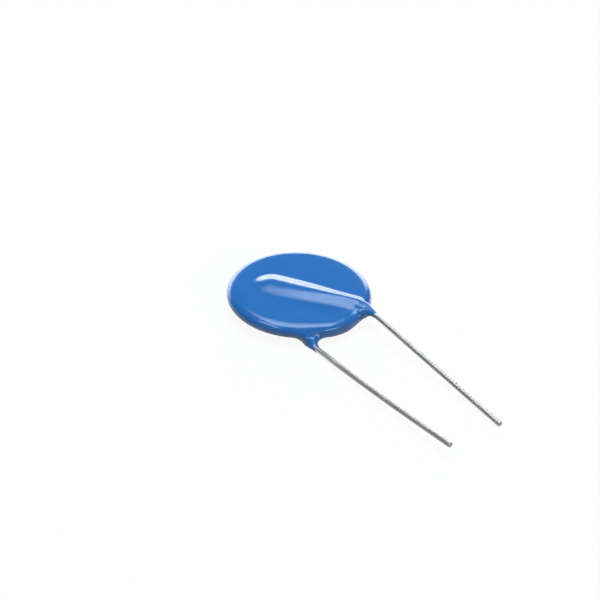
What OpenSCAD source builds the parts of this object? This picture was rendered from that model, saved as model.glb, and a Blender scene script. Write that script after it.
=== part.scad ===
// Radial varistor: a zinc oxide disc with a silver electrode on each face, a tinned
// copper lead soldered across each electrode, and a dipped coat of blue resin.
// It lies as it comes to rest on a table, on the bead of its lower lead and on the
// tip of its upper lead. Sizes are in millimetres, +Z is up and the leads point to -Y.

/* [Ceramic disc] */
// Diameter of the zinc oxide disc
ceramic_d = 20; // [16:0.5:26]
// Thickness of the zinc oxide disc
ceramic_t = 1.6; // [1.2:0.1:4]
// Bevel pressed on the edges of the disc
ceramic_bevel = 0.15; // [0.05:0.05:0.4]
// Bare ceramic around each silver electrode
electrode_margin = 1; // [0.5:0.1:1.5]
// Thickness of each silver electrode
electrode_t = 0.05; // [0.03:0.01:0.1]

/* [Leads] */
// Diameter of the tinned copper wire
wire_d = 0.8; // [0.6:0.05:1]
// Distance between the leads where they come out
pitch = 10; // [7.5:0.5:12.5]
// Length of a lead past the middle of the face, to its inner end
inner_run = 4.6; // [3:0.1:6]
// Distance from the axis of the disc to the run of a lead
run_offset = 0.8; // [0:0.1:1.2]
// Distance in from the edge of the body to the corner of a lead
corner_inset = 0.95; // [0.8:0.05:2.5]
// Radius of the bend at the corner of a lead
bend_r = 3; // [2.6:0.1:5]
// Radius of the slight bend where a lead comes out
lean_r = 6; // [3:0.5:12]
// Lean of the upper lead toward the middle plane of the disc
upper_lean = 2.8; // [1:0.1:5]
// Lean of the lower lead toward the middle plane of the disc
lower_lean = 4.5; // [1:0.1:6]
// Bare length of the upper lead
upper_bare = 29.6; // [10:0.1:40]
// Bare length of the lower lead
lower_bare = 31.2; // [10:0.1:40]

/* [Solder] */
// Solder between the wire and the electrode
solder_film = 0.05; // [0.03:0.01:0.1]
// Width of the solder fillet on the electrode
solder_w = 1.8; // [1.4:0.1:2.4]
// Length of lead left clear of solder, at its inner end and before its bend
solder_setback = 0.6; // [0.2:0.1:1.5]

/* [Resin coat] */
// Resin over the faces of the ceramic
face_coat = 0.4; // [0.25:0.05:0.7]
// Resin around the edge of the ceramic
edge_coat = 0.75; // [0.5:0.05:1.2]
// Radius of the resin's round edge
edge_round = 1.15; // [0.8:0.05:1.15]
// Swell of the resin past the round edge, between the leads
edge_swell = 0.45; // [0.1:0.05:0.6]
// Radius of the swell's round edge
swell_round = 0.8; // [0.5:0.05:1]
// Resin that clings to a lead under the skin of the bead
bead_coat = 0.1; // [0.05:0.01:0.3]
// Size of the hollow fillet between a bead and the face
face_fillet = 2.2; // [1.6:0.1:2.4]
// Size of the hollow fillet between a neck and the edge, toward the other lead and the middle plane
inner_fillet = 2.5; // [1.6:0.1:2.6]
// Size of the hollow fillet between a neck and the edge, on the opposite side
outer_fillet = 0.8; // [0.4:0.1:1.6]
// Resin on the wire where it crosses the edge of the body
edge_film = 0.3; // [0.1:0.01:0.34]
// Length of the neck of resin along a lead, from the edge of the body
neck_len = 2.5; // [2:0.1:4]
// How much sooner the neck ends on the side toward the middle plane
neck_slant = 1.2; // [0.5:0.1:1.5]
// Resin on the wire where the neck ends
neck_film = 0.06; // [0.04:0.01:0.12]

/* [Hidden] */
$fn = 96;

resin_color = "#2f74c4";
ceramic_color = "#4a4c50";
silver_color = "#cfd0cc";
solder_color = "#b4b6b8";
tin_color = "#c2c2be";

// Coated body: a flat disc with a round edge and a narrow straight band around it
edge_band = 0.05;
half_t = ceramic_t / 2 + face_coat;
coat_r = ceramic_d / 2 + edge_coat;
edge_r = min(edge_round, half_t - edge_band);
edge_ring_r = coat_r - edge_r;
edge_ring_z = half_t - edge_r;

// Swell: a second disc, a hair thinner and moved toward the leads, that ends just past them
swell_sink = 0.02;
swell_reach = 0.2;
swell_y = sqrt(pow(coat_r, 2) - pow(pitch / 2 + swell_reach, 2));
swell_shift = (2 * coat_r + edge_swell) * edge_swell / (2 * (coat_r + edge_swell - swell_y));
swell_r = coat_r + edge_swell - swell_shift;
swell_half_t = half_t - swell_sink;
swell_edge_r = min(swell_round, swell_half_t - edge_band);

// Upper lead: from its inner end across the face, through a bend and out
wire_r = wire_d / 2;
face_z = ceramic_t / 2 + electrode_t;
wire_z = face_z + solder_film + wire_r;
edge_y = -sqrt(coat_r * coat_r - pitch * pitch / 4);
corner_y = edge_y + corner_inset;
corner_reach = norm([pitch / 2, corner_y]);
skew = atan2(pitch / 2, -corner_y) + asin(run_offset / corner_reach);
run_middle = -run_offset * [cos(skew), sin(skew), 0];
bend_cut = bend_r * tan(skew / 2);
bend_s = sqrt(pow(corner_reach, 2) - pow(run_offset, 2)) - bend_cut;
out_s = bend_s + bend_r * skew * PI / 180;
out_y = corner_y - bend_cut;
edge_s = out_s + out_y - edge_y;
neck_s = edge_s + neck_len;
neck_y = edge_y - neck_len;

// Wire in a bend: a little thicker, and lapped by the straight wire on each side
bend_swell = 0.005;
bend_lap = 0.05;

// Bead: how far its root goes into the body, and how it is cut into facets
bead_r = wire_r + bead_coat;
root_cover = 0.3;
root_r = min(bead_r + face_fillet, bend_r - root_cover);
root_sink = 0.05;
walk_step = 0.2;
walk_end = 0.0001;
quarter_sides = 10;
bead_sides = 4 * quarter_sides;
side_bias = 1.6;
end_swings = [75, 60, 45, 30, 15];
run_cuts = 4;
bend_cuts = 6;
neck_cuts = 16;

// Share of the way from a to b, eased at both ends, and a value between two
function eased(x, a, b) = let (k = min(max((x - a) / (b - a), 0), 1)) k * k * (3 - 2 * k);
function between(u, v, k) = u + (v - u) * k;

// Heading of the centre line in degrees from -Y, at s along it from the middle of its run
function heading(s) =
    s < bend_s ? skew :
    s < out_s ? skew * (out_s - s) / (out_s - bend_s) : 0;

// Point of the centre line of the upper lead, up to the end of the neck
function lead_point(s) =
    s < bend_s ? run_middle + [s * sin(skew), -s * cos(skew), wire_z] :
    s < out_s ? [pitch / 2 - bend_r * (1 - cos(heading(s))), out_y + bend_r * sin(heading(s)), wire_z] :
    [pitch / 2, out_y - (s - out_s), wire_z];

// Ray square to the lead at s, turned about it, and swung back past its inner end
function ray(s, turn, swing) =
    cos(swing) * cos(turn) * [cos(heading(s)), sin(heading(s)), 0]
    + cos(swing) * sin(turn) * [0, 0, 1]
    - sin(swing) * [sin(heading(s)), -cos(heading(s)), 0];

// Turn of each side of the bead, closest together near the level of the face
function side_turn(k) =
    let (quarter = floor(k / quarter_sides), f = k / quarter_sides - quarter)
    quarter % 2 == 0 ? 90 * (quarter + pow(f, side_bias)) : 90 * (quarter + 1 - pow(1 - f, side_bias));

// End of the neck on the side of the wire that faces a turn
function neck_end(turn) = neck_s - neck_slant * pow((1 - sin(turn)) / 2, 2);

// Radius of the resin that clings to the wire, thick at the edge and thinning along the neck
function film_r(s, turn) =
    s < edge_s
        ? between(bead_r, wire_r + edge_film, eased(s, bend_s, edge_s))
        : between(wire_r + edge_film, wire_r + neck_film, eased(s, edge_s, neck_end(turn)));

// Size of the fillet, which changes from the bend to the edge and is widest at one turn there
wide_turn = 225;
function neck_fillet(turn) = between(outer_fillet, inner_fillet, eased(cos(turn - wide_turn), -1, 1));
function fillet(s, turn) = between(face_fillet, neck_fillet(turn), eased(s, bend_s, edge_s));

// Distance from a point to the skin of a round-edged disc, and of the body, negative inside
function disc_gap(p, r, half, round_r) =
    let (out = norm([p.x, p.y]) - r + round_r, up = abs(p.z) - half + round_r)
    norm([max(out, 0), max(up, 0)]) + min(max(out, up), 0) - round_r;
function body_gap(p) =
    min(disc_gap(p, coat_r, half_t, edge_r),
        disc_gap(p + [0, swell_shift, 0], swell_r, swell_half_t, swell_edge_r));

// Two distances joined so that their surfaces meet in a hollow fillet
function joined(a, b, size) =
    min(a, b) - pow(max(size - abs(a - b), 0), 2) / (4 * size);

// Furthest that a ray is followed, so that a root stays inside the body
function ray_limit(d) =
    d.z < 0 ? min(root_r, (wire_z + half_t - root_cover) / -d.z) : root_r;

// Length of a ray inside the resin: walk out, and in finer steps near the skin
function resin_depth(p, d, film, size, t = 0, step = walk_step) =
    step < walk_end || t >= ray_limit(d) ? min(t, ray_limit(d)) :
    joined(t + step - film, body_gap(p + (t + step) * d) + root_sink, size) < 0
        ? resin_depth(p, d, film, size, t + step, step)
        : resin_depth(p, d, film, size, t, step / 4);

// Point of the bead's skin, on a ray from the lead
function bead_point(s, turn, swing) =
    let (p = lead_point(s), d = ray(s, turn, swing))
    p + d * resin_depth(p, d, film_r(s, turn), fillet(s, turn));

// Lead after the neck: the end of its lean, and its tip
function lean_end(lean) = [pitch / 2, neck_y, wire_z - lean_r * (1 - cos(lean))];
function lead_tip(lean, bare) = lean_end(lean) - bare * [0, cos(lean), sin(lean)];
function turned_over(p) = [-p.x, p.y, -p.z];

// Rest: the part rolls on the crest of its lower bead until the upper tip is down,
// or the edge of the body if a short lead leaves the tip too high
crest_r = norm(bead_point(0, 90, 0) - lead_point(0));
pivot = turned_over(lead_point(0));
roll_axis = [sin(skew), cos(skew), 0];
roll_side = [cos(skew), -sin(skew), 0];
upper_tip = lead_tip(upper_lean, upper_bare);
lower_tip = turned_over(lead_tip(lower_lean, lower_bare));
function roll_down(out, up, r) = asin((crest_r - r) / norm([out, up])) + atan2(up, out);
tip_roll = roll_down((upper_tip - pivot) * roll_side, upper_tip.z - pivot.z - wire_r * cos(upper_lean), 0);
edge_roll = roll_down(edge_ring_r - pivot * roll_side, -edge_ring_z - pivot.z, edge_r);
rest_roll = min(tip_roll, edge_roll);

// Point of the part after the roll, about the centre line of the lower lead's run
function rolled(p) =
    let (q = p - pivot)
    q * cos(rest_roll) + cross(roll_axis, q) * sin(rest_roll)
    + roll_axis * (roll_axis * q) * (1 - cos(rest_roll)) + pivot;

// Middle of the footprint on the table, which becomes the origin
disc_middle = rolled([0, 0, 0]);
disc_axis = rolled([0, 0, 1]) - disc_middle;
back_y = disc_middle.y + edge_ring_r * sqrt(1 - pow(disc_axis.y, 2)) + edge_ring_z * abs(disc_axis.y) + edge_r;
front_y = min(rolled(upper_tip).y, rolled(lower_tip).y);
crest_cuts = 24;
crest_turns = [60, 75, 90, 105, 120, 135];
table_z = min([for (i = [0:crest_cuts], turn = crest_turns)
    rolled(turned_over(bead_point(between(-inner_run, neck_s, i / crest_cuts), turn, 0))).z]);
footprint = [disc_middle.x, (back_y + front_y) / 2, table_z];

module at_rest()
    translate(pivot - footprint)
        rotate(a = rest_roll, v = roll_axis)
            translate(-pivot)
                children();

module other_face()
    rotate([0, 180, 0])
        children();

module quarter_round(r)
    intersection() {
        circle(r = r);
        square(2 * r);
    }

module round_edged_disc(r, half, round_r) {
    ring_r = r - round_r;
    ring_z = half - round_r;
    rotate_extrude() {
        translate([0, -half])
            square([ring_r, 2 * half]);
        translate([ring_r, -ring_z])
            square([round_r, 2 * ring_z]);
        translate([ring_r, ring_z])
            quarter_round(round_r);
        translate([ring_r, -ring_z])
            mirror([0, 1])
                quarter_round(round_r);
    }
}

// Body of the coat, with its swell between the leads
module coated_body() {
    round_edged_disc(coat_r, half_t, edge_r);
    translate([0, -swell_shift, 0])
        round_edged_disc(swell_r, swell_half_t, swell_edge_r);
}

// Bead of resin over the upper lead, ending in the neck around the wire
module bead() {
    turns = [for (k = [0:bead_sides - 1]) side_turn(k)];
    rings = concat(
        [for (swing = end_swings)
            [for (turn = turns) bead_point(-inner_run, turn, swing)]],
        [for (i = [0:run_cuts])
            [for (turn = turns) bead_point(between(-inner_run, bend_s, i / run_cuts), turn, 0)]],
        [for (i = [1:bend_cuts])
            [for (turn = turns) bead_point(between(bend_s, out_s, i / bend_cuts), turn, 0)]],
        [for (i = [1:neck_cuts])
            [for (turn = turns) bead_point(between(out_s, neck_end(turn), i / neck_cuts), turn, 0)]]
    );
    last = len(rings) - 1;
    inner_tip = bead_point(-inner_run, 0, 90);
    neck_middle = lead_point(neck_end(0));
    function at(ring, k) = 2 + ring * bead_sides + k % bead_sides;
    polyhedron(
        concat([inner_tip, neck_middle], [for (ring = rings) each ring]),
        concat(
            [for (k = [0:bead_sides - 1]) [0, at(0, k), at(0, k + 1)]],
            [for (i = [1:last], k = [0:bead_sides - 1])
                [at(i - 1, k), at(i, k), at(i, k + 1), at(i - 1, k + 1)]],
            [for (k = [0:bead_sides - 1]) [1, at(last, k + 1), at(last, k)]]
        )
    );
}

// Straight wire along +Z, with a lap at each end that runs into a bend
module wire(length, lap_start, lap_end)
    translate([0, 0, -lap_start])
        cylinder(h = lap_start + length + lap_end, r = wire_r);

module wire_bend(radius, angle)
    rotate_extrude(angle = angle)
        translate([radius, 0])
            circle(r = wire_r + bend_swell);

// Upper lead, from its inner end to its tip
module lead(lean, bare) {
    lean_y = neck_y + lean_r * sin(lean);
    translate(run_middle)
        rotate([0, 0, skew])
            translate([0, inner_run, wire_z])
                rotate([90, 0, 0])
                    wire(inner_run + bend_s, 0, bend_lap);
    translate([pitch / 2 - bend_r, out_y, wire_z])
        wire_bend(bend_r, skew);
    translate([pitch / 2, out_y, wire_z])
        rotate([90, 0, 0])
            wire(out_y - lean_y, bend_lap, bend_lap);
    translate([pitch / 2, lean_y, wire_z - lean_r])
        rotate([0, -90, 180])
            wire_bend(lean_r, lean);
    translate(lean_end(lean))
        rotate([90 + lean, 0, 0])
            wire(bare, bend_lap, 0);
}

// Solder drawn up on both sides of the upper lead's run
module solder() {
    foot = solder_w / 2;
    top = solder_film + wire_r;
    translate(run_middle)
        rotate([0, 0, skew])
            translate([0, inner_run - solder_setback, face_z])
                rotate([90, 0, 0])
                    linear_extrude(inner_run + bend_s - 2 * solder_setback)
                        difference() {
                            polygon([[-foot, 0], [foot, 0], [wire_r / 2, top], [-wire_r / 2, top]]);
                            translate([0, top])
                                circle(r = wire_r);
                        }
}

module electrode()
    translate([0, 0, ceramic_t / 2])
        cylinder(h = electrode_t, r = ceramic_d / 2 - electrode_margin);

module bevelled_disc() {
    outer = ceramic_d / 2;
    inner = outer - ceramic_bevel;
    top = ceramic_t / 2;
    rotate_extrude()
        polygon([[0, -top], [inner, -top], [outer, -top + ceramic_bevel],
                 [outer, top - ceramic_bevel], [inner, top], [0, top]]);
}

module resin_coat()
    color(resin_color)
        at_rest()
            difference() {
                union() {
                    coated_body();
                    bead();
                    other_face() bead();
                }
                bevelled_disc();
                electrode();
                other_face() electrode();
                solder();
                other_face() solder();
                lead(upper_lean, upper_bare);
                other_face() lead(lower_lean, lower_bare);
            }

module ceramic_disc()
    color(ceramic_color)
        at_rest()
            bevelled_disc();

module upper_electrode()
    color(silver_color)
        at_rest()
            electrode();

module lower_electrode()
    color(silver_color)
        at_rest()
            other_face() electrode();

module upper_solder()
    color(solder_color)
        at_rest()
            solder();

module lower_solder()
    color(solder_color)
        at_rest()
            other_face() solder();

module upper_lead()
    color(tin_color)
        at_rest()
            lead(upper_lean, upper_bare);

module lower_lead()
    color(tin_color)
        at_rest()
            other_face() lead(lower_lean, lower_bare);

resin_coat();
ceramic_disc();
upper_electrode();
lower_electrode();
upper_solder();
lower_solder();
upper_lead();
lower_lead();
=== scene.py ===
# %% [markdown]
# # A varistor in blue resin
#
# A varistor is a small disc of zinc oxide that shorts out a surge of voltage. The disc is never
# seen: the finished part is dipped in resin, and the resin is what this lesson is about. It hangs
# on the disc as a round-edged skin, draws up into a ridge over the wire that crosses each face,
# and thins into a neck where each wire leaves. We build that skin from a rule, lay the two tinned
# wires in it, give every piece its finish, and light it as a small product shot.

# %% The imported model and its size
import math

import bpy
from mathutils import Matrix, Vector


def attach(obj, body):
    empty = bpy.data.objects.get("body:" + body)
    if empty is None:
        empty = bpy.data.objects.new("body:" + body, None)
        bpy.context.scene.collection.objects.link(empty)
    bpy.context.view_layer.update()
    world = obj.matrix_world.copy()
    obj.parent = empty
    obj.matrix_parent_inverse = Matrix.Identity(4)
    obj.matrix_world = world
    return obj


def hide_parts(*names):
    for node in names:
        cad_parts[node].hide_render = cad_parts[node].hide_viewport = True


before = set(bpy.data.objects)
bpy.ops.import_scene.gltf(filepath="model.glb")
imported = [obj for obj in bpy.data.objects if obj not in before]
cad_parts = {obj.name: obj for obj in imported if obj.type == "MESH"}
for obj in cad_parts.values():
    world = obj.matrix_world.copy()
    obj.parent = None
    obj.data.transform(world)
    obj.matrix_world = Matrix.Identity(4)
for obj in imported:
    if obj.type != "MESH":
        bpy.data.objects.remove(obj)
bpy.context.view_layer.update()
print("nodes:", ", ".join(sorted(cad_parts)))

# %% [markdown]
# ## Where the disc lies
#
# The part lies on a table, rolled over on the ridge of its lower wire until the tip of its upper
# wire touches down. Shapes are much easier to write in the disc's own frame, in millimetres, with
# the disc's axis along Z. So everything is built there, and one matrix carries it to the table.

# %% The disc's frame and the table's
MM = 0.001
skew = math.radians(34.8972)
rest_roll = math.radians(3.21451)
disc_centre = Vector((0.0, 16.1962, 2.11445))
run_axis = Vector((math.sin(skew), math.cos(skew), 0.0))
disc_to_table = Matrix.Translation(disc_centre) @ Matrix.Rotation(rest_roll, 4, run_axis)
disc_axis = disc_to_table.to_3x3() @ Vector((0, 0, 1))
print("disc axis on the table:", [round(v, 4) for v in disc_axis])

# %% [markdown]
# ## The camera
#
# The camera looks down at the disc at about a third of a right angle. Its place was found by
# fitting the outline of the disc and the lines of both wires, so it is given in the disc's frame:
# an azimuth, an elevation, a roll, and the scale of the picture at the middle of the disc. A long
# lens at a modest distance gives the slight perspective, and the lens shift puts the disc where
# it stands in the frame.

# %% Camera
IMAGE_SIDE = 600
view_azimuth = math.radians(-36.481)
view_elevation = math.radians(33.632)
view_roll = math.radians(2.441)
view_distance = 450.0
pixels_per_mm = 6.7758
disc_in_picture = (299.07, 293.41)

back = Vector((math.sin(view_azimuth) * math.cos(view_elevation),
               -math.cos(view_azimuth) * math.cos(view_elevation),
               math.sin(view_elevation)))
level_right = Vector((math.cos(view_azimuth), math.sin(view_azimuth), 0.0))
level_up = back.cross(level_right)
right = math.cos(view_roll) * level_right + math.sin(view_roll) * level_up
up = -math.sin(view_roll) * level_right + math.cos(view_roll) * level_up
camera_axes = Matrix((right, up, back)).transposed().to_4x4()
camera_in_disc = Matrix.Translation(back * view_distance) @ camera_axes

camera_data = bpy.data.cameras.new("camera")
camera_data.sensor_width = 36.0
camera_data.lens = camera_data.sensor_width * pixels_per_mm * view_distance / IMAGE_SIDE
camera_data.shift_x = (IMAGE_SIDE / 2 - disc_in_picture[0]) / IMAGE_SIDE
camera_data.shift_y = (disc_in_picture[1] - IMAGE_SIDE / 2) / IMAGE_SIDE
camera_data.clip_start = 0.01
camera = bpy.data.objects.new("camera", camera_data)
bpy.context.scene.collection.objects.link(camera)
in_table_mm = disc_to_table @ camera_in_disc
camera_turn = in_table_mm.to_3x3().to_4x4()
camera.matrix_world = Matrix.Translation(in_table_mm.translation * MM) @ camera_turn
bpy.context.scene.camera = camera
print("lens", round(camera_data.lens, 1), "mm, camera at", [round(v, 3) for v in camera.location])

# %% [markdown]
# ## Helpers for building node trees
#
# Both the geometry and the finishes are node trees. Writing them by hand takes many lines of
# `nodes.new` and `links.new`, so two small helpers do that: one adds a node and plugs in what it
# is given, and one starts a Geometry Nodes tree with a named input for each size.

# %% Node helpers
def add_node(tree, kind, inputs=None, **settings):
    made = tree.nodes.new(kind)
    for name, value in settings.items():
        setattr(made, name, value)
    for key, value in (inputs or {}).items():
        if isinstance(value, bpy.types.NodeSocket):
            tree.links.new(value, made.inputs[key])
        else:
            made.inputs[key].default_value = value
    return made


def geometry_tree(name, sizes, extra=()):
    tree = bpy.data.node_groups.new(name, "GeometryNodeTree")
    for label, kind in extra:
        tree.interface.new_socket(label, in_out="INPUT", socket_type=kind)
    for label, value in sizes.items():
        socket = tree.interface.new_socket(label, in_out="INPUT", socket_type="NodeSocketFloat")
        socket.default_value = value
    inside = add_node(tree, "NodeGroupInput")
    return tree, inside.outputs


print("node helpers ready")

# %% [markdown]
# ## The two wires
#
# Each lead is one piece of wire. It lies across a face of the disc, turns in a bend, leaves over
# the edge, and leans a little toward the middle plane of the disc. A wire is the plainest case of
# a shape that follows a path. Cylinders joined at the bends would show seams, so we draw the centre
# line as a curve and sweep a circle along it. The centre line is worked out point by point, because
# the resin will need the same line later. The lower wire is the upper one turned over, with its own
# lean and length and a slight bow.

# %% Path of a wire
wire_z = 1.3
pitch = 10.0
inner_run = 4.6
bend_r = 3.0
lean_r = 6.0
run_offset = 0.8
out_y = -9.50937
neck_y = -12.01643
run = Vector((math.sin(skew), -math.cos(skew), 0.0))
run_side = Vector((math.cos(skew), math.sin(skew), 0.0))
run_middle = Vector((0.0, 0.0, wire_z)) - run_offset * run_side
BEND_STEPS, LEAN_STEPS, BARE_STEPS = 16, 8, 24
run_stops = (-inner_run, -inner_run + 0.06, 0.0, 3.0, 6.0)
before_tip = (0.09, 0.05, 0.02, 0.0)


def lead_path(lean_degrees, bare, bow):
    lean = math.radians(lean_degrees)
    points = [run_middle + run * s for s in run_stops]
    bend_middle = Vector((pitch / 2 - bend_r, out_y, wire_z))
    for i in range(BEND_STEPS + 1):
        turn = skew * (1 - i / BEND_STEPS)
        points.append(bend_middle + bend_r * Vector((math.cos(turn), math.sin(turn), 0.0)))
    lean_y = neck_y + lean_r * math.sin(lean)
    for i in range(LEAN_STEPS + 1):
        tilt = lean * i / LEAN_STEPS
        points.append(Vector((pitch / 2, lean_y - lean_r * math.sin(tilt),
                              wire_z - lean_r * (1 - math.cos(tilt)))))
    start = points[-1].copy()
    along = Vector((0.0, -math.cos(lean), -math.sin(lean)))
    spans = [bare * i / BARE_STEPS for i in range(1, BARE_STEPS)]
    for span in spans + [bare - step for step in before_tip]:
        points.append(start + along * span + bow * math.sin(math.pi * span / bare))
    print("wire path:", len(points), "points, tip at", [round(v, 2) for v in points[-1]])
    return points


upper_path = lead_path(2.8, 29.6, Vector((0.0, 0.0, 0.0)))
lower_path = [Vector((-p.x, p.y, -p.z)) for p in lead_path(4.5, 31.2, Vector((0.12, 0.0, 0.08)))]

# %% [markdown]
# Blender keeps such a path as a curve object. A poly spline runs straight from point to point,
# where a Bezier spline would need handles. The radius stored at each point scales the circle that
# is swept there, and a little less at the ends rounds the rim of each cut.

# %% Centre lines of the wires
end_radii = {0: 0.9, 1: 1.0, -1: 0.9, -2: 0.965, -3: 0.992}


def path_object(name, points):
    curve = bpy.data.curves.new(name, "CURVE")
    curve.dimensions = "3D"
    spline = curve.splines.new("POLY")
    spline.points.add(len(points) - 1)
    for slot, point in zip(spline.points, points):
        slot.co = (*point, 1.0)
    for index, radius in end_radii.items():
        spline.points[index].radius = radius
    made = bpy.data.objects.new(name, curve)
    bpy.context.scene.collection.objects.link(made)
    print(f"{name}: {len(spline.points)} points")
    return made


upper_line = path_object("upper_line", upper_path)
lower_line = path_object("lower_line", lower_path)

# %% [markdown]
# The sweep itself is a small Geometry Nodes tree: a circle of the wire's radius, swept along the
# line, with flat ends like those that cutters leave. A curve's own bevel could do as much, but a
# tree has its sizes as named inputs and sets the finish too.

# %% Sweep for the wires
wire_r = 0.4
wire_sizes = {"Wire radius": wire_r, "Sides": 64.0}


def wire_tree(finish):
    tree, given = geometry_tree("swept wire", wire_sizes, [("Line", "NodeSocketGeometry")])
    tree.interface.new_socket("Wire", in_out="OUTPUT", socket_type="NodeSocketGeometry")
    circle = add_node(tree, "GeometryNodeCurvePrimitiveCircle",
                      {"Resolution": given["Sides"], "Radius": given["Wire radius"]})
    sweep = add_node(tree, "GeometryNodeCurveToMesh",
                     {"Curve": given["Line"], "Profile Curve": circle.outputs["Curve"],
                      "Fill Caps": True})
    if "Scale" in sweep.inputs:
        radius = add_node(tree, "GeometryNodeInputRadius")
        tree.links.new(radius.outputs[0], sweep.inputs["Scale"])
    smooth = add_node(tree, "GeometryNodeSetShadeSmooth", {"Geometry": sweep.outputs["Mesh"]})
    whole = add_node(tree, "GeometryNodeRealizeInstances", {"Geometry": smooth.outputs["Geometry"]})
    painted = add_node(tree, "GeometryNodeSetMaterial",
                       {"Geometry": whole.outputs["Geometry"], "Material": finish})
    add_node(tree, "NodeGroupOutput", {0: painted.outputs["Geometry"]})
    return tree


print("wire sizes:", wire_sizes)

# %% [markdown]
# ## The rule of the resin
#
# Dipped resin has no edges: surface tension pulls it smooth wherever it bridges a corner. Such a
# skin could be sculpted, or modelled with a subdivision surface, but then every fillet is matched
# by hand. A distance field says it in a few lines. Take the distance to a round-edged disc and the
# distance to a thin sleeve around a wire, and join them with a smooth minimum, which fills the
# corner between the two with a hollow fillet. All the sizes of the skin stand in one list, and
# every tree that needs them takes them as named inputs. They are lengths in millimetres, apart
# from two ratios, Edge stretch and End draw, and the Crown, which says how fast the face curves.

# %% Sizes of the resin skin
resin_sizes = {
    "Ring radius": 9.6,
    "Ring height": 0.05,
    "Edge radius": 1.15,
    "Edge stretch": 1.6,
    "Crown start": 6.5,
    "Crown": 0.008,
    "Swell": 0.36,
    "Swell edge radius": 0.8,
    "Bead film": 0.075,
    "Face fillet": 1.8,
    "Near fillet": 2.4,
    "End fillet": 0.8,
    "Near end fillet": 1.5,
    "End spread": 2.4,
    "End draw": 0.28,
    "Inner fillet": 2.5,
    "Outer fillet": 0.8,
    "Edge film": 0.3,
    "Neck film": 0.05,
    "Neck slant": 1.2,
    "Neck lip": 0.25,
    "Bury": 0.03,
}


def pass_sizes(given):
    return {label: given[label] for label in resin_sizes}


print("resin sizes:", resin_sizes)

# %% [markdown]
# The rule is arithmetic on points, and in a node tree each operation is a node. These helpers make
# the nodes and hand back the result, so that the trees below read like formulas.

# %% Arithmetic helpers
def calc(tree, operation, *values):
    return add_node(tree, "ShaderNodeMath", dict(enumerate(values)), operation=operation).outputs[0]


def product(tree, first, *others):
    for other in others:
        first = calc(tree, "MULTIPLY", first, other)
    return first


def eased(tree, value, start, end, low=0.0, high=1.0):
    plugs = {"Value": value, "From Min": start, "From Max": end, "To Min": low, "To Max": high}
    made = add_node(tree, "ShaderNodeMapRange", plugs, interpolation_type="SMOOTHSTEP")
    return made.outputs["Result"]


print("arithmetic helpers ready")

# %% Vector helpers
def vector_calc(tree, operation, *values):
    made = add_node(tree, "ShaderNodeVectorMath", dict(enumerate(values)), operation=operation)
    return made.outputs["Value" if operation in ("LENGTH", "DOT_PRODUCT") else "Vector"]


def split(tree, vector):
    return add_node(tree, "ShaderNodeSeparateXYZ", {0: vector}).outputs


def joined(tree, **parts):
    return add_node(tree, "ShaderNodeCombineXYZ", parts).outputs[0]


print("vector helpers ready")

# %% [markdown]
# First the disc. Its edge is round, but not the same all over. On the upper side the round is
# wider than it is high and the face sinks a trifle toward it, as a coat does that sagged while it
# set. Between the two leads the edge swells out and gets sharper, where resin gathered as the part
# hung from its wires.

# %% Distance to the disc
swell_across = (0.5, 5.3)
swell_along = (-7.0, -4.0)
middle_blend = (-0.05, 0.05)


def body_distance(tree, given, point):
    parts = split(tree, point)
    flat = joined(tree, X=parts["X"], Y=parts["Y"])
    radius = vector_calc(tree, "LENGTH", flat)
    sideways = calc(tree, "ABSOLUTE", parts["X"])
    between = product(tree, eased(tree, sideways, *swell_across, 1.0, 0.0),
                      eased(tree, parts["Y"], *swell_along, 1.0, 0.0))
    spare = calc(tree, "SUBTRACT", given["Edge radius"], given["Swell edge radius"])
    sharper = product(tree, between, spare)
    edge_radius = calc(tree, "SUBTRACT", given["Edge radius"], sharper)
    swell = product(tree, between, given["Swell"])
    ring_radius = calc(tree, "ADD", given["Ring radius"], calc(tree, "ADD", swell, sharper))
    top = eased(tree, parts["Z"], *middle_blend)
    extra = calc(tree, "SUBTRACT", given["Edge stretch"], 1.0)
    stretch = calc(tree, "MULTIPLY_ADD", top, extra, 1.0)
    narrower = product(tree, edge_radius, calc(tree, "SUBTRACT", stretch, 1.0))
    past_ring = calc(tree, "SUBTRACT", radius, calc(tree, "SUBTRACT", ring_radius, narrower))
    out = calc(tree, "DIVIDE", past_ring, stretch)
    rise = calc(tree, "SUBTRACT", calc(tree, "ABSOLUTE", parts["Z"]),
                calc(tree, "ADD", given["Ring height"], sharper))
    past = calc(tree, "MAXIMUM", calc(tree, "SUBTRACT", radius, given["Crown start"]), 0.0)
    crown = product(tree, product(tree, past, past), product(tree, top, given["Crown"]))
    rise = calc(tree, "ADD", rise, crown)
    corner = joined(tree, X=calc(tree, "MAXIMUM", out, 0.0), Y=calc(tree, "MAXIMUM", rise, 0.0))
    reach = vector_calc(tree, "LENGTH", corner)
    inside = calc(tree, "MINIMUM", calc(tree, "MAXIMUM", out, rise), 0.0)
    return calc(tree, "SUBTRACT", calc(tree, "ADD", reach, inside), edge_radius)


print("edge swells over", 2 * swell_across[1], "mm between the leads, by", resin_sizes["Swell"], "mm")

# %% [markdown]
# Then the line of one lead. Toward the far end of its run the ridge gets broader and sinks. To say
# that, the distance is measured from a lifted point with a larger radius, so what shows is the top
# of a wider round. The tree also needs to know which way the point lies from the wire.

# %% Distance to the line of one lead
ridge_span = (-5.0, 7.5)


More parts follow.
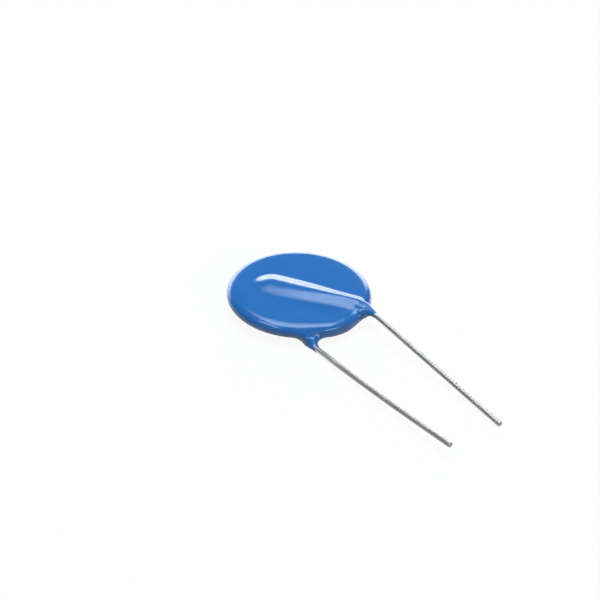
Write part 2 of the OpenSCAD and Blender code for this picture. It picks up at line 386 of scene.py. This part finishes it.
def line_distance(tree, given):
    place = split(tree, given["Point"])
    side_x = product(tree, place["X"], given["Side"])
    along = calc(tree, "ADD", product(tree, side_x, run.x), product(tree, place["Y"], run.y))
    broad = eased(tree, along, *ridge_span, given["End spread"], 0.0)
    drawn = product(tree, broad, given["End draw"])
    lift = joined(tree, X=product(tree, drawn, given["Side"], -run.x),
                  Y=product(tree, drawn, -run.y), Z=product(tree, broad, given["Side"]))
    lifted = vector_calc(tree, "ADD", given["Point"], lift)
    near = add_node(tree, "GeometryNodeProximity",
                    {0: given["Line"], "Sample Position": lifted}, target_element="EDGES").outputs
    reach = calc(tree, "SUBTRACT", near["Distance"], broad)
    aim = vector_calc(tree, "NORMALIZE", vector_calc(tree, "SUBTRACT", lifted, near["Position"]))
    return along, reach, aim, near["Position"]


print("ridge broadens over", ridge_span[1] - ridge_span[0], "mm of the run")

# %% [markdown]
# A film of resin lies on that line. It gets thicker toward the edge of the disc, thins out along
# the neck and dives under the wire's surface where the resin ends, sooner on the side that faces
# the middle plane.

# %% Sleeve of resin on the wire
bend_s = 8.94361
edge_y = -9.51643
bend_y = (run_middle + bend_s * run).y


def lead_sleeve(tree, given, reach, outward, forward):
    inward = product(tree, calc(tree, "SUBTRACT", 1.0, outward), 0.5)
    short = product(tree, inward, inward, given["Neck slant"])
    neck_end = calc(tree, "SUBTRACT", -neck_y, short)
    along_neck = eased(tree, forward, -edge_y, neck_end)
    past_neck = eased(tree, forward, neck_end, calc(tree, "ADD", neck_end, given["Neck lip"]))
    to_edge = eased(tree, forward, -bend_y, -edge_y, given["Bead film"], given["Edge film"])
    thinning = calc(tree, "SUBTRACT", given["Neck film"], to_edge)
    film = calc(tree, "ADD", to_edge, product(tree, along_neck, thinning))
    dive = product(tree, past_neck, calc(tree, "ADD", given["Neck film"], given["Bury"]))
    bare_wire = calc(tree, "SUBTRACT", reach, wire_r)
    return calc(tree, "SUBTRACT", bare_wire, calc(tree, "SUBTRACT", film, dive))


print("film thickens from y =", round(bend_y, 2), "to", edge_y, "and the neck ends at", neck_y)

# %% [markdown]
# The fillet is not the same all along. On the face it is wider on the near flank of the ridge, and
# around the neck it is full on the side toward the other lead and thin on the outer side.

# %% Width of the fillet
flank_blend = (-0.6, 0.6)


def fillet_width(tree, given, along, forward, sideways, outward, lengthwise):
    toward = product(tree, calc(tree, "ADD", sideways, outward), -math.sqrt(0.5))
    neck_fillet = eased(tree, toward, -1.0, 1.0, given["Outer fillet"], given["Inner fillet"])
    beside = calc(tree, "ADD", product(tree, sideways, -run_side.x),
                  product(tree, lengthwise, -run_side.y))
    face_fillet = eased(tree, beside, *flank_blend, given["Face fillet"], given["Near fillet"])
    end_fillet = eased(tree, beside, *flank_blend, given["End fillet"], given["Near end fillet"])
    run_fillet = eased(tree, along, *ridge_span, end_fillet, face_fillet)
    return eased(tree, forward, -bend_y, -edge_y, run_fillet, neck_fillet)


for label in ("Face fillet", "Near fillet", "Inner fillet", "Outer fillet"):
    print(label, resin_sizes[label], "mm")

# %% [markdown]
# Sleeve and disc meet in the smooth minimum. A lead's resin stays on its own side of the middle
# plane, and the lower lead's fillets fade out there, so that they don't show on the upper side.

# %% Resin over one lead
plane_blend = (-0.5, 0.4)


def lead_resin_tree():
    tree, given = geometry_tree("resin over one lead", resin_sizes,
                                [("Line", "NodeSocketGeometry"), ("Point", "NodeSocketVector"),
                                 ("Body", "NodeSocketFloat"), ("Side", "NodeSocketFloat")])
    tree.interface.new_socket("Distance", in_out="OUTPUT", socket_type="NodeSocketFloat")
    along, reach, aim, on_line = line_distance(tree, given)
    aim_parts = split(tree, aim)
    outward = product(tree, aim_parts["Z"], given["Side"])
    sideways = product(tree, aim_parts["X"], given["Side"])
    forward = product(tree, split(tree, on_line)["Y"], -1.0)
    beyond = product(tree, split(tree, given["Point"])["Z"], given["Side"], -1.0)
    sleeve = lead_sleeve(tree, given, reach, outward, forward)
    sleeve = calc(tree, "MAXIMUM", sleeve, beyond)
    fillet = fillet_width(tree, given, along, forward, sideways, outward, aim_parts["Y"])
    apart = calc(tree, "ABSOLUTE", calc(tree, "SUBTRACT", sleeve, given["Body"]))
    overlap = calc(tree, "MAXIMUM", calc(tree, "SUBTRACT", fillet, apart), 0.0)
    fill = calc(tree, "DIVIDE", product(tree, overlap, overlap), product(tree, fillet, 4.0))
    is_upper = calc(tree, "MULTIPLY_ADD", given["Side"], 0.5, 0.5)
    fill = product(tree, fill, eased(tree, beyond, *plane_blend, 1.0, is_upper))
    nearest = calc(tree, "MINIMUM", sleeve, given["Body"])
    add_node(tree, "NodeGroupOutput", {0: calc(tree, "SUBTRACT", nearest, fill)})
    return tree


one_lead = lead_resin_tree()
print("tree of one lead:", len(one_lead.nodes), "nodes")

# %% [markdown]
# The whole skin is the nearer of the two: the disc with the upper lead, or the disc with the lower.

# %% The whole skin
def skin_tree():
    tree, given = geometry_tree("distance to the resin skin", resin_sizes,
                                [("Upper line", "NodeSocketGeometry"),
                                 ("Lower line", "NodeSocketGeometry"),
                                 ("Point", "NodeSocketVector")])
    tree.interface.new_socket("Distance", in_out="OUTPUT", socket_type="NodeSocketFloat")
    body = body_distance(tree, given, given["Point"])
    skins = []
    for line, lead_side in (("Upper line", 1.0), ("Lower line", -1.0)):
        plugs = {"Line": given[line], "Point": given["Point"], "Body": body, "Side": lead_side}
        one = add_node(tree, "GeometryNodeGroup", {**plugs, **pass_sizes(given)}, node_tree=one_lead)
        skins.append(one.outputs["Distance"])
    add_node(tree, "NodeGroupOutput", {0: calc(tree, "MINIMUM", *skins)})
    return tree


skin = skin_tree()
print("tree of the skin:", len(skin.nodes), "nodes")

# %% [markdown]
# ## From the rule to a mesh
#
# A field becomes a mesh in two moves. First a block of voxels samples it, and Volume to Mesh
# wraps the zero level in small even quads. That wrapping is only as fine as the voxels, and a
# glossy finish would show it, so each point is then slid down the slope of the field onto the
# exact skin. The slope comes from sampling the field a hair away along each axis. Three such
# steps are plenty.

# %% Settle the points on the skin
hair_mm = 0.02
least_slope = 0.05


def settle_tree():
    tree, given = geometry_tree("settle on the skin", {**resin_sizes, "Hair": hair_mm},
                                [("Mesh", "NodeSocketGeometry"), ("Upper line", "NodeSocketGeometry"),
                                 ("Lower line", "NodeSocketGeometry")])
    tree.interface.new_socket("Mesh", in_out="OUTPUT", socket_type="NodeSocketGeometry")
    place = add_node(tree, "GeometryNodeInputPosition").outputs[0]
    lines = {label: given[label] for label in ("Upper line", "Lower line")}

    def field_at(point):
        plugs = {**lines, "Point": point, **pass_sizes(given)}
        return add_node(tree, "GeometryNodeGroup", plugs, node_tree=skin).outputs["Distance"]

    here = field_at(place)
    slopes = {}
    for axis in "XYZ":
        hair = joined(tree, **{axis: given["Hair"]})
        there = field_at(vector_calc(tree, "ADD", place, hair))
        slopes[axis] = calc(tree, "DIVIDE", calc(tree, "SUBTRACT", there, here), given["Hair"])
    slope = joined(tree, **slopes)
    steep = calc(tree, "MAXIMUM", vector_calc(tree, "DOT_PRODUCT", slope, slope), least_slope)
    share = product(tree, calc(tree, "DIVIDE", here, steep), -1.0)
    step = add_node(tree, "ShaderNodeVectorMath", {0: slope, "Scale": share}, operation="SCALE")
    moved = add_node(tree, "GeometryNodeSetPosition",
                     {"Geometry": given["Mesh"], "Offset": step.outputs[0]})
    add_node(tree, "NodeGroupOutput", {0: moved.outputs["Geometry"]})
    return tree


settle = settle_tree()
print("tree that settles the points:", len(settle.nodes), "nodes")

# %% [markdown]
# The coat's own tree puts these together. Its inputs are the two lines, the sizes of the skin and
# the size of a voxel. It ends as every tree here does, in Realize Instances and Set Material.

# %% The coat's tree
voxel = 0.13
voxel_block = ((-11.3, neck_y - 0.7, -2.5), (11.3, 11.3, 2.5))
SETTLE_STEPS = 3


def coat_tree(finish):
    tree, given = geometry_tree("resin coat", {**resin_sizes, "Voxel": voxel},
                                [("Empty", "NodeSocketGeometry"), ("Upper line", "NodeSocketObject"),
                                 ("Lower line", "NodeSocketObject")])
    tree.interface.new_socket("Coat", in_out="OUTPUT", socket_type="NodeSocketGeometry")
    lines = {}
    for label in ("Upper line", "Lower line"):
        found = add_node(tree, "GeometryNodeObjectInfo", {"Object": given[label]},
                         transform_space="ORIGINAL")
        edges = add_node(tree, "GeometryNodeCurveToMesh", {"Curve": found.outputs["Geometry"]})
        lines[label] = edges.outputs["Mesh"]
    place = add_node(tree, "GeometryNodeInputPosition").outputs[0]
    plugs = {**lines, "Point": place, **pass_sizes(given)}
    gap = add_node(tree, "GeometryNodeGroup", plugs, node_tree=skin)
    depth = calc(tree, "SUBTRACT", 1.0, gap.outputs["Distance"])
    low, high = voxel_block
    block = add_node(tree, "GeometryNodeVolumeCube", {"Density": depth, "Min": low, "Max": high})
    for axis, name in enumerate(("Resolution X", "Resolution Y", "Resolution Z")):
        count = calc(tree, "DIVIDE", high[axis] - low[axis], given["Voxel"])
        tree.links.new(count, block.inputs[name])
    wrapped = add_node(tree, "GeometryNodeVolumeToMesh",
                       {"Volume": block.outputs["Volume"], "Threshold": 1.0})
    mesh = wrapped.outputs["Mesh"]
    for _ in range(SETTLE_STEPS):
        mesh = add_node(tree, "GeometryNodeGroup", {"Mesh": mesh, **lines, **pass_sizes(given)},
                        node_tree=settle).outputs["Mesh"]
    smooth = add_node(tree, "GeometryNodeSetShadeSmooth", {"Geometry": mesh})
    whole = add_node(tree, "GeometryNodeRealizeInstances", {"Geometry": smooth.outputs["Geometry"]})
    painted = add_node(tree, "GeometryNodeSetMaterial",
                       {"Geometry": whole.outputs["Geometry"], "Material": finish})
    add_node(tree, "NodeGroupOutput", {0: painted.outputs["Geometry"]})
    return tree


block_cells = [round((high - low) / voxel) for low, high in zip(*voxel_block)]
print("voxel block:", " x ".join(str(count) for count in block_cells), "cells")

# %% [markdown]
# ## Finishes
#
# A finish could come from a picture wrapped around the piece, but that needs an unwrapped mesh and
# blurs close up. Here every finish is worked out from noise on Object coordinates, so the pattern
# stays with the piece and is as fine as the view asks. A few helpers make the nodes that all the
# finishes share.

# %% Helpers for finishes
MIX_FIRST, MIX_SECOND, MIX_RESULT = 6, 7, 2


def new_finish(name):
    finish = bpy.data.materials.new(name)
    finish.use_nodes = True
    tree = finish.node_tree
    shader = tree.nodes["Principled BSDF"]
    place = add_node(tree, "ShaderNodeTexCoord").outputs["Object"]
    return finish, tree, shader, place


def noise(tree, place, features_per_mm, stretch=(1.0, 1.0, 1.0), detail=2.0):
    scaled = add_node(tree, "ShaderNodeMapping", {"Vector": place, "Scale": stretch})
    return add_node(tree, "ShaderNodeTexNoise",
                    {"Vector": scaled.outputs[0], "Scale": features_per_mm / MM,
                     "Detail": detail, "Roughness": 0.5}).outputs[0]


def spread(tree, value, low, high, from_low=0.3, from_high=0.7):
    return add_node(tree, "ShaderNodeMapRange",
                    {"Value": value, "From Min": from_low, "From Max": from_high,
                     "To Min": low, "To Max": high}).outputs["Result"]


def two_tone(tree, share, first, second):
    made = add_node(tree, "ShaderNodeMix", {"Factor": share}, data_type="RGBA")
    for index, tone in ((MIX_FIRST, first), (MIX_SECOND, second)):
        if isinstance(tone, bpy.types.NodeSocket):
            tree.links.new(tone, made.inputs[index])
        else:
            made.inputs[index].default_value = (*tone, 1.0)
    return made.outputs[MIX_RESULT]


def bump(tree, shader, height, depth_mm):
    made = add_node(tree, "ShaderNodeBump",
                    {"Height": height, "Distance": depth_mm * MM, "Strength": 1.0})
    tree.links.new(made.outputs[0], shader.inputs["Normal"])


print("finish helpers ready")

# %% [markdown]
# The resin is a hard gloss: saturated blue, a clear mirror on top, a trace of orange peel where it
# set, and a few specks of dust caught in it. The blue hardly changes over the face. The peel and
# the specks are too shallow for geometry, so they are a bump.

# %% Blue resin
deep_blue = (0.026, 0.167, 0.492)
light_blue = (0.032, 0.181, 0.525)
speck_blue = (0.16, 0.32, 0.62)
specks_per_mm = 0.45
speck_rim = (0.03, 0.07)
speck_share = 0.35
speck_height = 0.05
fine_peel_share = 0.12
peel_mm = 0.012
resin_ior = 1.52


def blue_resin():
    finish, tree, shader, place = new_finish("blue_resin")
    shade = spread(tree, noise(tree, place, features_per_mm=0.25, detail=3.0), 0.0, 1.0)
    blue = two_tone(tree, shade, deep_blue, light_blue)
    dust = add_node(tree, "ShaderNodeTexVoronoi", {"Vector": place, "Scale": specks_per_mm / MM})
    speck = spread(tree, dust.outputs["Distance"], 1.0, 0.0, *speck_rim)
    dusty = two_tone(tree, product(tree, speck, speck_share), blue, speck_blue)
    tree.links.new(dusty, shader.inputs["Base Color"])
    haze = spread(tree, noise(tree, place, features_per_mm=0.6, detail=4.0), 0.07, 0.13)
    tree.links.new(haze, shader.inputs["Roughness"])
    shader.inputs["IOR"].default_value = resin_ior
    broad_peel = noise(tree, place, features_per_mm=0.45, detail=1.0)
    fine_peel = noise(tree, place, features_per_mm=1.7, detail=1.0)
    peel = calc(tree, "ADD", broad_peel, product(tree, fine_peel, fine_peel_share))
    bump(tree, shader, calc(tree, "ADD", peel, product(tree, speck, speck_height)), peel_mm)
    return finish


resin_finish = blue_resin()
print(resin_finish.name, "has", len(resin_finish.node_tree.nodes), "nodes")

# %% [markdown]
# The tin on the wires is a soft metal that was drawn lengthwise, so its marks are noise stretched
# along the wires, with a broad cloudiness over it. It is rough enough to show no sharp mirror.

# %% Tinned wire
dark_tin = (0.59, 0.58, 0.555)
light_tin = (0.69, 0.68, 0.655)
drawn_out = (1.0, 0.03, 1.0)
drawn_share, cloud_share = 0.6, 0.4
tin_bump_mm = 0.004


def tinned_wire():
    finish, tree, shader, place = new_finish("tinned_wire")
    drawn = noise(tree, place, features_per_mm=4.0, stretch=drawn_out, detail=3.0)
    cloud = noise(tree, place, features_per_mm=0.5, detail=3.0)
    tone = calc(tree, "ADD", product(tree, drawn, drawn_share), product(tree, cloud, cloud_share))
    tin = two_tone(tree, spread(tree, tone, 0.0, 1.0), dark_tin, light_tin)
    tree.links.new(tin, shader.inputs["Base Color"])
    shader.inputs["Metallic"].default_value = 1.0
    tree.links.new(spread(tree, cloud, 0.40, 0.52), shader.inputs["Roughness"])
    bump(tree, shader, cloud, tin_bump_mm)
    return finish


wire_finish = tinned_wire()
print(wire_finish.name, "has", len(wire_finish.node_tree.nodes), "nodes")

# %% [markdown]
# The ceramic, its silver and the solder are sealed in the coat. They still get their own finishes,
# because someone may cut the model open: pressed grey grain, matt silver paste, rippled solder.

# %% Sealed pieces
def fired_ceramic():
    finish, tree, shader, place = new_finish("fired_ceramic")
    grain = noise(tree, place, features_per_mm=6.0, detail=4.0)
    dark, light = (0.055, 0.057, 0.064), (0.095, 0.097, 0.105)
    grey = two_tone(tree, spread(tree, grain, 0.0, 1.0), dark, light)
    tree.links.new(grey, shader.inputs["Base Color"])
    tree.links.new(spread(tree, grain, 0.62, 0.8), shader.inputs["Roughness"])
    bump(tree, shader, grain, depth_mm=0.02)
    return finish


def silver_paste():
    finish, tree, shader, place = new_finish("silver_paste")
    brushed = noise(tree, place, features_per_mm=5.0, stretch=(1.0, 0.2, 1.0), detail=3.0)
    dark, light = (0.58, 0.58, 0.55), (0.72, 0.72, 0.69)
    silver = two_tone(tree, spread(tree, brushed, 0.0, 1.0), dark, light)
    tree.links.new(silver, shader.inputs["Base Color"])
    shader.inputs["Metallic"].default_value = 1.0
    tree.links.new(spread(tree, brushed, 0.5, 0.65), shader.inputs["Roughness"])
    bump(tree, shader, brushed, depth_mm=0.006)
    return finish


def reflowed_solder():
    finish, tree, shader, place = new_finish("reflowed_solder")
    ripple = noise(tree, place, features_per_mm=1.6, detail=2.0)
    dark, light = (0.40, 0.41, 0.43), (0.56, 0.57, 0.58)
    grey = two_tone(tree, spread(tree, ripple, 0.0, 1.0), dark, light)
    tree.links.new(grey, shader.inputs["Base Color"])
    shader.inputs["Metallic"].default_value = 1.0
    tree.links.new(spread(tree, ripple, 0.25, 0.42), shader.inputs["Roughness"])
    bump(tree, shader, ripple, depth_mm=0.03)
    return finish


sealed = {
    "ceramic_disc": fired_ceramic(),
    "upper_electrode": silver_paste(),
    "upper_solder": reflowed_solder(),
}
sealed["lower_electrode"] = sealed["upper_electrode"]
sealed["lower_solder"] = sealed["upper_solder"]
for node_name, finish in sealed.items():
    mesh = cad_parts[node_name].data
    mesh.materials.clear()
    mesh.materials.append(finish)
print("finishes:", ", ".join(m.name for m in bpy.data.materials))

# %% [markdown]
# ## Make the pieces
#
# Now the trees run. The sizes go into a modifier by the identifiers of its inputs, before it is
# first evaluated. A finished piece is turned into a plain mesh, carried to the table and scaled to
# metres, and its modifier goes. Each made piece stands in for its solid, rides on the part's one
# body, and keeps the finish that its tree set.

# %% From a modifier to a plain piece
mm_to_metres = Matrix.Scale(MM, 4)


def set_sizes(modifier, sizes):
    labels = {item.name: item.identifier for item in modifier.node_group.interface.items_tree
              if item.item_type == "SOCKET" and item.in_out == "INPUT"}
    for label, value in sizes.items():
        modifier[labels[label]] = value


def plain_piece(name, source):
    graph = bpy.context.evaluated_depsgraph_get()
    mesh = bpy.data.meshes.new_from_object(source.evaluated_get(graph), depsgraph=graph)
    mesh.name = name
    mesh.transform(mm_to_metres @ disc_to_table)
    bpy.data.objects.remove(source)
    piece = bpy.data.objects.new(name, mesh)
    bpy.context.scene.collection.objects.link(piece)
    corners = [[round(1000 * pick(v.co[axis] for v in mesh.vertices), 2) for axis in range(3)]
               for pick in (min, max)]
    print(f"{name}: {len(mesh.vertices)} points, {len(mesh.polygons)} faces, box in mm {corners}")
    return piece


def hand_over(piece, node_name):
    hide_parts(node_name)
    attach(piece, "root")


print("one unit of the disc's frame is", MM, "m on the table")

# %% [markdown]
# The coat comes first, because it reads both lines while they are still bare curves.

# %% Make the coat
seed = bpy.data.objects.new("coat_seed", bpy.data.meshes.new("coat_seed"))
bpy.context.scene.collection.objects.link(seed)
dip = seed.modifiers.new("dip", "NODES")
dip.node_group = coat_tree(resin_finish)
set_sizes(dip, {**resin_sizes, "Voxel": voxel, "Upper line": upper_line, "Lower line": lower_line})
hand_over(plain_piece("coat", seed), "resin_coat")

# %% [markdown]
# The wires follow. Both lines run through the same tree with the same sizes.

# %% Make the wires
wires = ((upper_line, "upper_wire", "upper_lead"), (lower_line, "lower_wire", "lower_lead"))
swept = wire_tree(wire_finish)
for line, piece_name, node_name in wires:
    sweep = line.modifiers.new("sweep", "NODES")
    sweep.node_group = swept
    set_sizes(sweep, wire_sizes)
    hand_over(plain_piece(piece_name, line), node_name)

# %% [markdown]
# ## The table
#
# The part lies on a white table. More light would turn the table white, but it would wash out the
# blue as well. The Light Path node lets one table be several things instead. The camera sees mostly
# the table's own white, with a share of plain diffuse white that keeps the shadow. For the gloss of
# the part the table glows brighter behind the disc, a painted reflection that draws the pale far rim,
# and dimmer under the wires, a painted shade that draws the dark lower side of the wires. For all
# other rays it is grey paper.

# %% Table
away = Vector((-back.x, -back.y, 0.0)).normalized()
side = Vector((away.y, -away.x, 0.0))
# painted reflection: for glossy rays the table glows brighter behind the disc, which draws the pale
# far rim
far_table = (-0.002, 0.006)
far_table_gain = 1.5
# painted shade: for glossy rays the table glows dimmer under the wires, standing in for their shade
wire_shade_span = (0.004, -0.001)
wire_shade_gain = -0.55
paper_grey = (0.15, 0.15, 0.15, 1.0)
paper_white = (0.95, 0.95, 0.95, 1.0)
pure_white = (1.0, 1.0, 1.0, 1.0)
own_white_share = 0.92


def white_table():
    finish = bpy.data.materials.new("white_table")
    finish.use_nodes = True
    tree = finish.node_tree
    tree.nodes.clear()
    paper = add_node(tree, "ShaderNodeBsdfDiffuse", {"Color": paper_grey})
    white = add_node(tree, "ShaderNodeBsdfDiffuse", {"Color": paper_white})
    rays = add_node(tree, "ShaderNodeLightPath").outputs
    spot = add_node(tree, "ShaderNodeNewGeometry").outputs["Position"]
    from_disc = vector_calc(tree, "SUBTRACT", spot, tuple(disc_centre * MM))
    beyond = vector_calc(tree, "DOT_PRODUCT", from_disc, tuple(away))
    # painted reflection behind the disc and painted shade under the wires, seen by glossy rays only
    behind_disc = eased(tree, beyond, *far_table, 0.0, far_table_gain)
    painted_wire_shade = eased(tree, split(tree, spot)["Y"], *wire_shade_span, 0.0, wire_shade_gain)
    for_gloss = product(tree, rays["Is Glossy Ray"], calc(tree, "ADD", behind_disc, painted_wire_shade))
    glow = add_node(tree, "ShaderNodeEmission",
                    {"Color": pure_white, "Strength": calc(tree, "ADD", for_gloss, 1.0)})
    seen = add_node(tree, "ShaderNodeMixShader",
                    {0: own_white_share, 1: white.outputs[0], 2: glow.outputs[0]})
    is_seen = calc(tree, "MAXIMUM", rays["Is Camera Ray"], rays["Is Glossy Ray"])
    mix = add_node(tree, "ShaderNodeMixShader",
                   {0: is_seen, 1: paper.outputs[0], 2: seen.outputs[0]})
    add_node(tree, "ShaderNodeOutputMaterial", {"Surface": mix.outputs[0]})
    return finish


half = 1.5
table_drop = 0.02 * MM
table_corners = [(-half, -half, 0), (half, -half, 0), (half, half, 0), (-half, half, 0)]
table_mesh = bpy.data.meshes.new("table")
table_mesh.from_pydata(table_corners, [], [(0, 1, 2, 3)])
table_mesh.materials.append(white_table())
table = bpy.data.objects.new("table", table_mesh)
table_mesh.transform(Matrix.Translation((0.0, 0.0, -table_drop)))
bpy.context.scene.collection.objects.link(table)
print("table:", 2 * half, "m square,", table_drop / MM, "mm below the part")

# %% [markdown]
# ## The room
#
# What gloss shows is its surroundings. Area lamps would show in it as rectangles with hard edges,
# so there are no lamp objects, and all the light is drawn into the world by direction: how far
# behind the part a ray looks, how far across to the right, and how high. A bright low wall behind
# gives the white line along the ridge, and the dark above it keeps the flat face a deep blue. A
# cool softbox overhead, which fades toward the back, gives the pale flank and the pale band around
# the near edge. A faint fill comes from the front. Two small bright patches leave the thin lines
# on the near rim, one on the right and one on the left. The camera itself sees plain white.

# %% Where the light comes from
room_level = 0.07
wall_level = 4.1
wall_top = (0.28, 0.36)
wall_haze = (0.36, 0.55)
haze_share = 0.08
wall_start = (0.5, 0.85)
wall_right_end = (0.52, 0.36)
softbox_level = 5.1
softbox_depth = (-0.25, -0.05, 0.17, 0.65)
softbox_width = (-0.43, -0.29, 0.32, 0.48)
softbox_floor = (0.55, 0.7)
cool = (0.88, 1.02, 1.12)
front_level = 0.12
front_height = (0.02, 0.12, 0.55, 0.72)
front_start = (-0.15, -0.4)
lamp_level = 13.0
right_lamp_height = (0.28, 0.33, 0.38, 0.43)
right_lamp_width = (0.36, 0.46, 0.74, 0.88)
right_lamp_start = (-0.2, -0.4)
left_lamp_slope = 0.49
left_lamp_line = (-0.63, -0.60, -0.57, -0.54)
left_lamp_depth = (-0.56, -0.46, -0.12, -0.04)
left_lamp_floor = (0.6, 0.7)
print("levels: wall", wall_level, "softbox", softbox_level, "front", front_level, "lamps", lamp_level)

# %% [markdown]
# Each patch of light is a product of soft steps. A window rises from nothing to full and falls
# again, so no edge is hard. The patches add up to the strength of the world's background.

# %% Room
def window(tree, value, start, full, fade, end):
    return product(tree, eased(tree, value, start, full), eased(tree, value, fade, end, 1.0, 0.0))


def room(world):
    world.use_nodes = True
    tree = world.node_tree
    tree.nodes.clear()
    look = add_node(tree, "ShaderNodeTexCoord").outputs["Generated"]
    height = split(tree, look)["Z"]
    behind = vector_calc(tree, "DOT_PRODUCT", look, tuple(away))
    across = vector_calc(tree, "DOT_PRODUCT", look, tuple(side))
    wall_height = calc(tree, "ADD", eased(tree, height, *wall_top, 1.0 - haze_share, 0.0),
                       eased(tree, height, *wall_haze, haze_share, 0.0))
    wall = product(tree, wall_height, eased(tree, behind, *wall_start),
                   eased(tree, across, *wall_right_end))
    softbox = product(tree, window(tree, behind, *softbox_depth),
                      window(tree, across, *softbox_width), eased(tree, height, *softbox_floor))
    front = product(tree, window(tree, height, *front_height), eased(tree, behind, *front_start))
    right_lamp = product(tree, window(tree, height, *right_lamp_height),
                         window(tree, across, *right_lamp_width),
                         eased(tree, behind, *right_lamp_start))
    slant = calc(tree, "MULTIPLY_ADD", behind, left_lamp_slope, across)
    left_lamp = product(tree, window(tree, slant, *left_lamp_line),
                        window(tree, behind, *left_lamp_depth),
                        eased(tree, height, *left_lamp_floor))
    lamps = calc(tree, "ADD", right_lamp, left_lamp)
    level = room_level
    for share, gain in ((wall, wall_level), (softbox, softbox_level),
                        (front, front_level), (lamps, lamp_level)):
        level = calc(tree, "ADD", level, product(tree, share, gain))
    tint = two_tone(tree, softbox, (1.0, 1.0, 1.0), cool)
    lit = add_node(tree, "ShaderNodeBackground", {"Color": tint, "Strength": level})
    plain = add_node(tree, "ShaderNodeBackground", {"Color": pure_white, "Strength": 1.0})
    rays = add_node(tree, "ShaderNodeLightPath").outputs
    mix = add_node(tree, "ShaderNodeMixShader",
                   {0: rays["Is Camera Ray"], 1: lit.outputs[0], 2: plain.outputs[0]})
    add_node(tree, "ShaderNodeOutputWorld", {"Surface": mix.outputs[0]})


bpy.context.scene.world = bpy.data.worlds.new("room")
room(bpy.context.scene.world)
bpy.context.scene.view_settings.view_transform = "Standard"
print("room:", len(bpy.context.scene.world.node_tree.nodes), "nodes")
